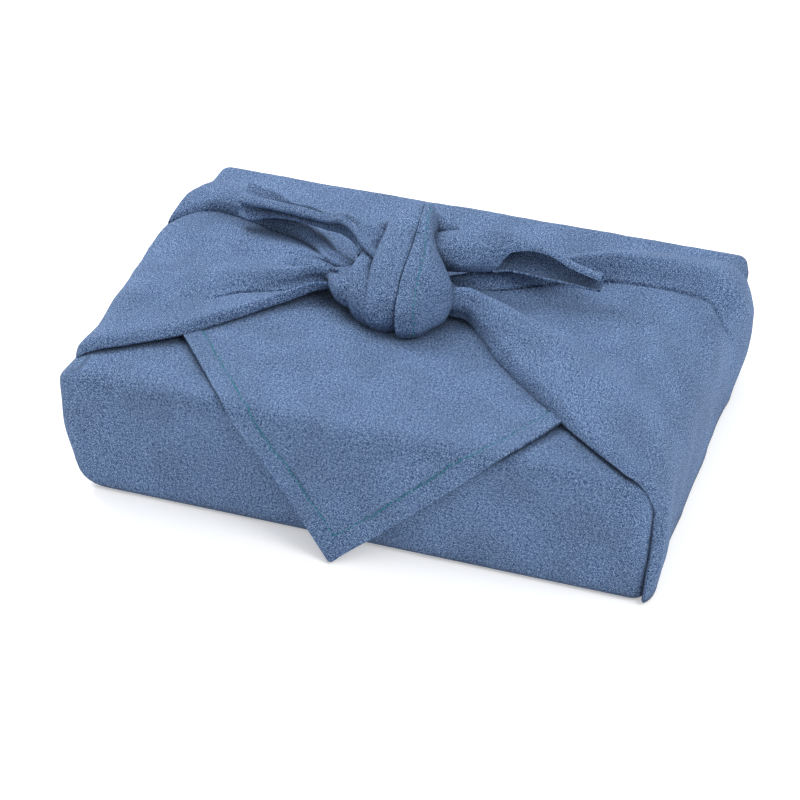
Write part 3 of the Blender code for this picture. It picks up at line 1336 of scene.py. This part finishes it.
LEFT_ROLL = (
    FanRow(-149, 2, 90, ((62, -0.5), (72, 1), (84, 1), (103, -0.5))),
    FanRow(-150, 34, 90, ((54, 0.8), (64, 3), (80, 3), (101, 0.6))),
    FanRow(-150, 56, 88, ((44, 1), (52, 4), (68, 4), (94, 1))),
    FanRow(-150, 66, 60, ((36, 2.5), (44, 4), (60, 4), (88, 2))),
    FanRow(-150.5, 69, 22, ((34, 4.5), (40, 7.5), (56, 12), (82, 6)), 0.26),
    FanRow(-130, 69, 0, ((51, 5.5), (53, 11.5), (62, 14), (80, 7.5))),
    FanRow(-116, 69, 0, ((49, 5.5), (51, 11), (60, 14), (77, 8))),
    FanRow(-100, 69, 0, ((44, 5.5), (46, 10.5), (54, 14), (71, 8))),
    FanRow(-80, 69, 0, ((37, 6), (38, 10.5), (45, 14), (60, 7))),
    FanRow(-66, 69, 0, ((25, 7.5), (26, 12), (33, 14.5), (48, 6))),
    FanRow(-50, 69, 0, ((8, 12), (9.5, 16), (15, 16), (27, 6))),
    FanRow(-38, 69, 0, ((4, 12), (6, 15.5), (11, 15), (20, 6))),
)
RIGHT_GATHER = (
    FanRow(
        150, 2, 90,
        ((-108.5, -0.5), (-105, 2.2), (-98, 3.4), (-82, 1.5), (10, 1.5), (58, 2), (82, 2), (103, 0.5)),
    ),
    FanRow(
        150.5, 30, 90,
        ((-103.5, 0.6), (-101, 5.4), (-94, 6.2), (-74, 3), (10, 3), (56, 4), (79, 8), (103, 1)),
    ),
    FanRow(
        150, 52, 86,
        ((-101.5, 0.8), (-99, 6), (-92, 6.6), (-68, 3.5), (8, 3.5), (52, 4.5), (75, 10), (99, 1.2)),
    ),
    FanRow(
        147, 63, 55,
        ((-105, 1.2), (-101, 4.8), (-84, 5), (-58, 3), (4, 3), (46, 3.4), (64, 11), (95, 2)),
    ),
    FanRow(
        139, 68.6, 14,
        ((-103, 1.2), (-98, 5), (-72, 6.5), (-44, 3.2), (5, 3), (54, 3.6), (69, 12), (92, 2)),
    ),
    FanRow(
        120, 69, 0,
        ((-90, 1.2), (-85, 6.5), (-48, 10), (-22, 4), (18, 3), (58, 3.4), (71, 12.5), (91, 2)),
    ),
    FanRow(
        96, 69, 0,
        ((-72, 1.2), (-66, 8), (-31, 13), (-9, 4), (22, 3), (57, 3.4), (68, 13.5), (86, 2)),
    ),
    FanRow(
        74, 69, 0,
        ((-52, 1.5), (-47, 9.5), (-18, 15.5), (1, 4.5), (24, 3), (50, 3.8), (59, 14.5), (74, 3)),
    ),
    FanRow(
        54, 69, 0,
        ((-33, 1.5), (-29, 10), (-9, 17.5), (7, 5.5), (20, 3.6), (36, 5.5), (44, 14.5), (58, 3)),
    ),
    FanRow(
        38, 69, 0,
        ((-14, 2), (-12, 10), (-2, 19), (7, 8.5), (14, 7), (22, 8), (30, 15), (41, 4)),
    ),
    FanRow(
        26, 69, 0,
        ((-5, 5), (-5, 12), (1, 20), (6, 14.5), (11, 9), (16, 9), (22, 16.5), (30, 7)),
    ),
    FanRow(
        14, 69, 0,
        ((-6, 6), (-6, 12), (0, 17), (5, 13), (9, 9), (13, 8), (19, 15), (27, 7)),
    ),
    FanRow(
        0, 69, 0,
        ((-6, 4), (-6, 6), (-1, 9), (3, 8), (6, 7), (10, 6), (14, 9), (20, 5)),
    ),
)
KNOT_FRONT_BAND = (
    StrandRow(-12, 38, 92, 19, 8, 4),
    StrandRow(-13, 40, 99, 20, 9, 4),
    StrandRow(-13.5, 35, 104.4, 19, 10, 4),
    StrandRow(-14, 27, 104.9, 20, 10, 4),
    StrandRow(-14, 14, 101.6, 21, 11, 4),
    StrandRow(-13.6, 1, 97.2, 22, 12, 4),
    StrandRow(-13, -9, 92.1, 22, 13, 4),
    StrandRow(-12, -18, 85.5, 22, 13, 4),
    StrandRow(-10.5, -22, 78, 21, 12, 4),
    StrandRow(-8, -21, 72, 18, 9, 4),
)
KNOT_TOP_LAYER = (
    CoverRow((-10, 43, 98), (-13, 45, 102), (-9, 45, 104), (-5, 43, 103), (-2, 42, 98), (-1, 40, 90)),
    CoverRow((-4, 34, 104), (-8.0, 35, 111.4), (-4, 35, 112), (-1.5, 33, 110), (0.5, 32, 103), (1, 32, 96)),
    CoverRow((-2, 23, 102), (-6.6, 25, 111), (-2.3, 24, 111), (0, 22, 109), (2, 22, 102), (2, 22, 94)),
    CoverRow((-1, 13, 99), (-5.4, 14, 108), (-0.2, 14, 108), (3.5, 13, 105.5), (6, 14, 100), (4, 15, 92)),
    CoverRow((-1, 2, 95), (-4.4, 1, 104.2), (3, 2, 104.4), (9, 4, 101.5), (13, 6, 95), (10, 8, 88)),
    CoverRow((0, -8, 90), (-4.2, -11, 99.8), (4.2, -10, 100), (12, -5, 97), (18, 1, 89), (15, 5, 82)),
    CoverRow((1, -14, 84), (-3.8, -21, 92.6), (5.2, -20, 93), (14, -13, 90), (21, -5, 83), (17, 2, 77)),
    CoverRow((2, -19, 79), (-2.8, -29, 84.6), (6.8, -28, 85), (14, -20, 82), (20, -10, 78), (17, -2, 74)),
    CoverRow((3, -21, 75), (-2, -30.6, 77), (7.8, -29, 77), (13.5, -21, 76), (18, -12, 74), (16, -5, 71)),
    CoverRow(
        (4, -18, 71), (-1.4, -29.4, 71.8), (7.4, -27, 71.6),
        (12, -19, 71.4), (15, -11, 71.4), (14, -5, 70),
    ),
)
KNOT_LEFT_LOBE = (
    StrandRow(-21, 24, 83, 14, 12),
    StrandRow(-25.5, 15, 85.5, 17, 14),
    StrandRow(-28, 6, 87, 18, 15),
    StrandRow(-28.5, -3, 86.5, 18, 15),
    StrandRow(-26, -12, 83.5, 19, 15),
    StrandRow(-22, -17.5, 77.5, 19, 13),
    StrandRow(-17, -19, 72, 17, 9),
)
KNOT_LEFT_TURN = (
    StrandRow(-50, 2, 81, 6, 5),
    StrandRow(-46, 1.5, 81, 11, 9),
    StrandRow(-41, 0, 80.5, 19, 14),
    StrandRow(-36, -1.5, 80, 25, 18),
    StrandRow(-30, -3, 80.5, 28, 21),
    StrandRow(-20, -3, 82, 30, 23),
    StrandRow(-8, -2, 83, 28, 24),
)
KNOT_RIGHT_TURN = (
    StrandRow(24, 1, 80, 8, 8),
    StrandRow(18, 1, 80, 14, 14),
    StrandRow(8, 1, 82, 22, 20),
    StrandRow(-6, 0, 83, 26, 24),
)
KNOT_BACK_LOOP = (
    StrandRow(-14, 38, 95, 12, 8),
    StrandRow(-8, 40, 99.5, 13, 8),
    StrandRow(-2, 39, 101, 13, 7),
    StrandRow(4, 36, 99, 12, 7),
    StrandRow(8, 32, 92, 12, 7),
)
KNOT_BACK_LOBE = (
    StrandRow(-20, 34, 95, 10, 8),
    StrandRow(-28, 27, 97, 12, 8),
    StrandRow(-32, 19, 95, 12, 8),
    StrandRow(-30, 12, 90, 12, 8),
)
LEFT_TAIL = (
    TailRow(-14, ((24, 92), (18, 99), (8, 98), (1, 97), (6, 92), (5, 91), (12, 90))),
    TailRow(-23, ((25, 93), (19, 101.5), (9, 98), (1, 98.4), (8, 92), (6, 91), (13, 90))),
    TailRow(-28, ((26, 95), (20, 103.5), (11, 100.5), (3.5, 100.4), (11, 94), (8, 91), (15, 89))),
    TailRow(-33, ((26, 97), (20.5, 104.5), (13, 101.8), (7, 102.2), (14, 97), (11, 90.5), (18, 88))),
    TailRow(-39, ((28, 98), (23, 104.5), (18, 102.2), (13.6, 103.8), (21, 98), (17, 91), (24, 88))),
    TailRow(-48, ((33, 96), (28, 103.2), (24.5, 101.4), (20.6, 103.6), (28, 98), (25, 91), (31, 88))),
    TailRow(-60, ((37, 92), (32, 98.8), (29, 96.6), (25.6, 99.8), (34, 94.5), (30, 90), (35, 86))),
    TailRow(-71, ((41, 90), (37, 98), (34, 94.4), (29.6, 98.2), (38, 92.5), (33.5, 89), (37, 86))),
    TailRow(-85, ((47, 88), (42.5, 95.5), (39, 92.2), (32.6, 97.2), (41, 91.5), (36, 88), (40, 85))),
    TailRow(-95, ((54, 87), (49, 95.6), (43.5, 91.2), (34.8, 96), (42, 90), (37, 86), (42, 82))),
    TailRow(-105, ((57, 86), (53, 94.5), (47, 90.8), (37, 94.6), (41, 89), (36, 83), (41, 80))),
    TailRow(-113, ((58, 86), (55, 94.5), (49, 90.8), (39.5, 93.6), (42, 88), (38, 83), (42, 80))),
)
RIGHT_TAIL = (
    TailRow(0, ((12, 87), (10, 94), (14, 100), (24, 102), (31, 96), (30, 88), (22, 85), (18, 90))),
    TailRow(14, ((14, 88), (10, 95), (15, 103), (26, 105.5), (33, 97), (31, 89), (23, 86), (19, 91))),
    TailRow(28, ((19, 87.5), (15, 95), (20, 103), (31, 106), (36, 98), (34, 90), (25, 86.5), (21, 90.5))),
    TailRow(
        35,
        ((21, 89), (19.5, 96), (24.5, 102.5), (34, 104.5), (38, 97), (36, 89), (27, 85.5), (20, 88)),
    ),
    TailRow(38.5, ((24, 94), (24, 98), (28, 102), (35, 103.5), (39, 97), (37, 89), (28, 85.5), (22, 88))),
    TailRow(
        43,
        ((27, 98), (28, 99.5), (31, 101.7), (36.5, 102), (39.5, 96), (38, 88.5), (30, 85), (24, 87.5)),
    ),
    TailRow(
        50,
        ((30, 98), (31, 99.5), (33, 100.4), (37, 100), (39.5, 94.5), (38, 87.5), (31, 84), (25.5, 86.5)),
    ),
    TailRow(
        60,
        ((32, 96), (33, 97.3), (34.6, 97.8), (36.6, 97), (38.5, 92), (37, 86), (32, 83), (26.5, 85)),
    ),
    TailRow(
        74,
        ((31, 90.5), (32, 91.8), (33.6, 92.5), (35.8, 92), (37.4, 88), (36, 84), (33, 81.5), (29, 82.5)),
    ),
    TailRow(
        82,
        (
            (31.4, 88), (32.6, 89.6), (34.2, 90), (36.2, 89.4),
            (38, 86), (36.4, 82.6), (33.4, 80.4), (30, 81.2),
        ),
    ),
    TailRow(
        88,
        ((31.6, 86.4), (32.8, 88), (34.4, 88.6), (36.6, 88), (38, 85), (36.6, 82), (34, 80), (31, 80.4)),
    ),
)


# --------------------------------------------------------------------------
# Stitching
# --------------------------------------------------------------------------


@dataclass
class Stitching(Sheet):
    """Running stitches of sewing thread, sunk at both ends."""

    name: str = "hem_stitches"
    pitch: float = 3.0
    stitch: float = 2.3
    radius: float = 0.36
    sink: float = 0.22
    proud: float = 0.2
    sunk_from: float = 0.7
    sides: int = 6
    rings: int = 6
    sort_from: Spot = (3.1, 1.7, 5.3)
    margin: float = 1.0
    lengthening: Pair = (0.85, 1.1)
    spacing: Pair = (0.9, 1.1)
    seed: int = 12

    def model(self) -> Piece:
        """Model one stitch: a spindle along Z, with its ends pushed in along -Y.

        A new sphere's faces are in another order in each run, so they are
        sorted by their distance from a place to one side.

        Returns:
            The stitch's object.
        """
        bpy.ops.object.select_all(action="DESELECT")
        bpy.ops.mesh.primitive_uv_sphere_add(segments=self.sides, ring_count=self.rings, radius=1.0)
        one = bpy.context.active_object
        bpy.ops.object.mode_set(mode="EDIT")
        bpy.ops.mesh.select_all(action="SELECT")
        bpy.context.scene.cursor.location = self.sort_from
        bpy.ops.mesh.sort_elements(type="CURSOR_DISTANCE", elements={"FACE"})
        bpy.context.scene.cursor.location = (0.0, 0.0, 0.0)
        size = (self.radius * MM, self.radius * MM, self.stitch / 2 * MM)
        bpy.ops.transform.resize(value=size, center_override=(0.0, 0.0, 0.0))
        bpy.ops.mesh.select_all(action="DESELECT")
        bpy.ops.object.mode_set(mode="OBJECT")
        for vert in one.data.vertices:
            vert.select = abs(vert.co.z) > self.sunk_from * self.stitch / 2 * MM
        bpy.ops.object.mode_set(mode="EDIT")
        bpy.ops.transform.translate(value=(0.0, -self.sink * MM, 0.0))
        bpy.ops.object.mode_set(mode="OBJECT")
        one.data.shade_smooth()
        return one

    def sew(self, one: Piece, seam: Seam, random: np.random.RandomState) -> None:
        """Copy the stitch along a seam.

        Args:
            one: The stitch that is copied.
            seam: The seam's places and outward directions, close together.
            random: Where the stitches' unevenness comes from.
        """
        line = np.array([tuple(point) for point, _ in seam])
        at = lengths(line) / MM
        place = self.margin
        while place < at[-1] - self.margin:
            k = int(np.clip(np.searchsorted(at, place), 2, len(seam) - 3))
            along = (seam[k + 2][0] - seam[k - 2][0]).normalized()
            across = seam[k][1].cross(along).normalized()
            out = along.cross(across)
            turn = Matrix((across, out, along * random.uniform(*self.lengthening))).transposed().to_4x4()
            mesh = one.data.copy()
            mesh.transform(Matrix.Translation(seam[k][0] + out * self.proud * self.radius * MM) @ turn)
            copy = bpy.data.objects.new(self.name, mesh)
            bpy.context.scene.collection.objects.link(copy)
            copy.select_set(True)
            place += self.pitch * random.uniform(*self.spacing)

    def build(self, seams: list[Seam], finish: Material) -> Piece:
        """Sew all the seams and join their stitches into one piece.

        Args:
            seams: The seams, each with its places and outward directions.
            finish: The thread's material.

        Returns:
            The stitches' object.
        """
        one = self.model()
        bpy.ops.object.select_all(action="DESELECT")
        random = np.random.RandomState(self.seed)
        for seam in seams:
            self.sew(one, seam, random)
        bpy.context.view_layer.objects.active = bpy.context.selected_objects[0]
        bpy.ops.object.join()
        item = bpy.context.active_object
        item.name = self.name
        bpy.data.objects.remove(one)
        return self.dress(item, finish)


# --------------------------------------------------------------------------
# Studio
# --------------------------------------------------------------------------


@dataclass
class Studio:
    """A pale table under soft light, seen from above the front's right."""

    camera_place: Spot = (0.3282, -1.0077, 0.7725)
    camera_azimuth: float = 18.52
    camera_elevation: float = 35.60
    lens: float = 111.7
    sensor: float = 36.0
    nearest: float = 0.02
    table_size: float = 6.0
    table_height: float = -0.3 * MM
    key_place: Spot = (0.9, -0.25, 1.0)
    key_size: float = 0.6
    key_power: float = 6.6
    side_place: Spot = (-0.65, 0.4, 0.85)
    side_size: float = 0.45
    side_power: float = 9.0
    aim: Spot = (0.0, 0.0, 0.05)
    world_light: float = 0.74

    def floor(self) -> None:
        """Lay the table top."""
        bpy.ops.object.select_all(action="DESELECT")
        bpy.ops.mesh.primitive_plane_add(size=self.table_size, location=(0.0, 0.0, self.table_height))
        top = bpy.context.active_object
        top.name = "table_top"
        top.data.materials.append(PaleFloor().build())

    def lights(self) -> None:
        """Hang two soft lights and brighten the room."""
        lamps = (
            ("key_light", self.key_place, self.key_size, self.key_power),
            ("left_light", self.side_place, self.side_size, self.side_power),
        )
        for name, place, size, power in lamps:
            light = bpy.data.lights.new(name, "AREA")
            light.energy = power
            light.size = size
            lamp = bpy.data.objects.new(name, light)
            bpy.context.scene.collection.objects.link(lamp)
            lamp.location = place
            aim = Vector(self.aim) - lamp.location
            lamp.rotation_euler = aim.to_track_quat("-Z", "Y").to_euler()
        world = bpy.data.worlds.new("room")
        bpy.context.scene.world = world
        world.use_nodes = True
        back = world.node_tree.nodes["Background"]
        back.inputs["Color"].default_value = (1.0, 1.0, 1.0, 1.0)
        back.inputs["Strength"].default_value = self.world_light
        bpy.context.scene.view_settings.view_transform = "Standard"

    def camera(self) -> None:
        """Place the camera."""
        a, e = radians(self.camera_azimuth), radians(self.camera_elevation)
        back = Vector((sin(a) * cos(e), -cos(a) * cos(e), sin(e)))
        right = (-back).cross(Vector((0.0, 0.0, 1.0))).normalized()
        above = right.cross(-back)
        data = bpy.data.cameras.new("camera")
        data.sensor_width = self.sensor
        data.lens = self.lens
        data.clip_start = self.nearest
        eye = bpy.data.objects.new("camera", data)
        bpy.context.scene.collection.objects.link(eye)
        turn = Matrix((right, above, back)).transposed().to_4x4()
        eye.matrix_world = Matrix.Translation(self.camera_place) @ turn
        bpy.context.scene.camera = eye

    def build(self) -> None:
        """Set the whole studio up."""
        self.floor()
        self.lights()
        self.camera()


# --------------------------------------------------------------------------
# The wrap
# --------------------------------------------------------------------------


@dataclass
class Wrap:
    """The whole cloth."""

    cotton: CreasedCotton = CreasedCotton()
    thread: TealThread = TealThread()

    def fans(self) -> list[Fan]:
        """List the parts of the two gathers.

        Returns:
            The fans, from the left.
        """
        left_pleats = (
            Pleat(0.34, 60, 3.4, 1.7),
            Pleat(0.50, 30, 2.6, 1.3),
            Pleat(0.64, 42, 3.2, 1.6),
            Pleat(0.80, 38, 2.4, 1.4),
        )
        roll_pleats = (Pleat(0.4, 40, 1.2, 1.5), Pleat(0.65, 30, 1.0, 1.5))
        right_pleats = (
            Pleat(0.14, 34, 1.6, 1.8),
            Pleat(0.26, 46, 1.6, 2.2),
            Pleat(0.36, 26, 1.2, 1.5),
            Pleat(0.78, 40, 1.2, 1.6),
        )
        return [
            Fan(
                name="left_gather",
                rows=LEFT_GATHER,
                pleats=left_pleats,
                creases=(Crease(2, 4, 70, 1.6), Crease(4, 6, 40, 1.2)),
                seed=11,
            ),
            Fan(name="left_gather_roll", rows=LEFT_ROLL, pleats=roll_pleats, flute_depth=0.8, seed=12),
            Fan(
                name="right_gather",
                rows=RIGHT_GATHER,
                pleats=right_pleats,
                creases=(Crease(5, 30, 172, 1.8), Crease(3, 14, 60, 0.9)),
                wave=0.75,
                flute_rest=0.5,
                seed=13,
            ),
        ]

    def strands(self) -> list[Strand]:
        """List the strands of the knot.

        Returns:
            The strands, the one in front first.
        """
        band = (Groove(118, 0.5, 7, 0.4, 0.9),)
        lobe = (Groove(70, 1.0, 9, 0.1, 0.9), Groove(120, 1.0, 9, 0.0, 0.7))
        return [
            Strand(name="knot_front_band", rows=KNOT_FRONT_BAND, grooves=band, stands=True, seed=21),
            Strand(name="knot_left_lobe", rows=KNOT_LEFT_LOBE, grooves=lobe, stands=True, seed=22),
            Strand(name="knot_left_turn", rows=KNOT_LEFT_TURN, grooves=lobe, seed=23),
            Strand(name="knot_right_turn", rows=KNOT_RIGHT_TURN, grooves=lobe, seed=24),
            Strand(name="knot_back_loop", rows=KNOT_BACK_LOOP, seed=25),
            Strand(name="knot_back_lobe", rows=KNOT_BACK_LOBE, seed=26),
        ]

    def tails(self) -> list[Layer]:
        """List the two free ends.

        Returns:
            The left end, whose front fold is a rolled rim, and the right one.
        """
        left = tuple(tuple(row.spots(rim=3)) for row in LEFT_TAIL)
        right = tuple(tuple(row.spots(rim=-1)) for row in RIGHT_TAIL)
        return [
            Layer(name="left_tail", rows=left, held=Held.FOLDED, seed=41),
            Layer(name="right_tail", rows=right, held=Held.FOLDED, seed=42),
        ]

    def build(self) -> list[Piece]:
        """Make every piece of the cloth, then sew its hems.

        Returns:
            The pieces, in the order they were made.
        """
        cotton, thread = self.cotton.build(), self.thread.build()
        flap = FrontFlap(rows=HEMS)
        cover = Layer(
            name="knot_top_layer", rows=KNOT_TOP_LAYER, seam_fold=2, wave=0.2, crinkle=0.07, seed=31
        )
        sheets = [BoxWrap(), flap, *self.fans(), *self.strands(), cover, *self.tails()]
        pieces = [sheet.build(cotton) for sheet in sheets]
        seams = [flap.seam(-1), flap.seam(1), cover.seam()]
        return [*pieces, Stitching().build(seams, thread)]


def main() -> None:
    """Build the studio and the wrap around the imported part."""
    logging.basicConfig(level=logging.INFO, format="%(message)s")
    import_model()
    Studio().build()
    for piece in Wrap().build():
        log.info("%s: %d faces", piece.name, len(piece.data.polygons))


if __name__ == "__main__":
    main()
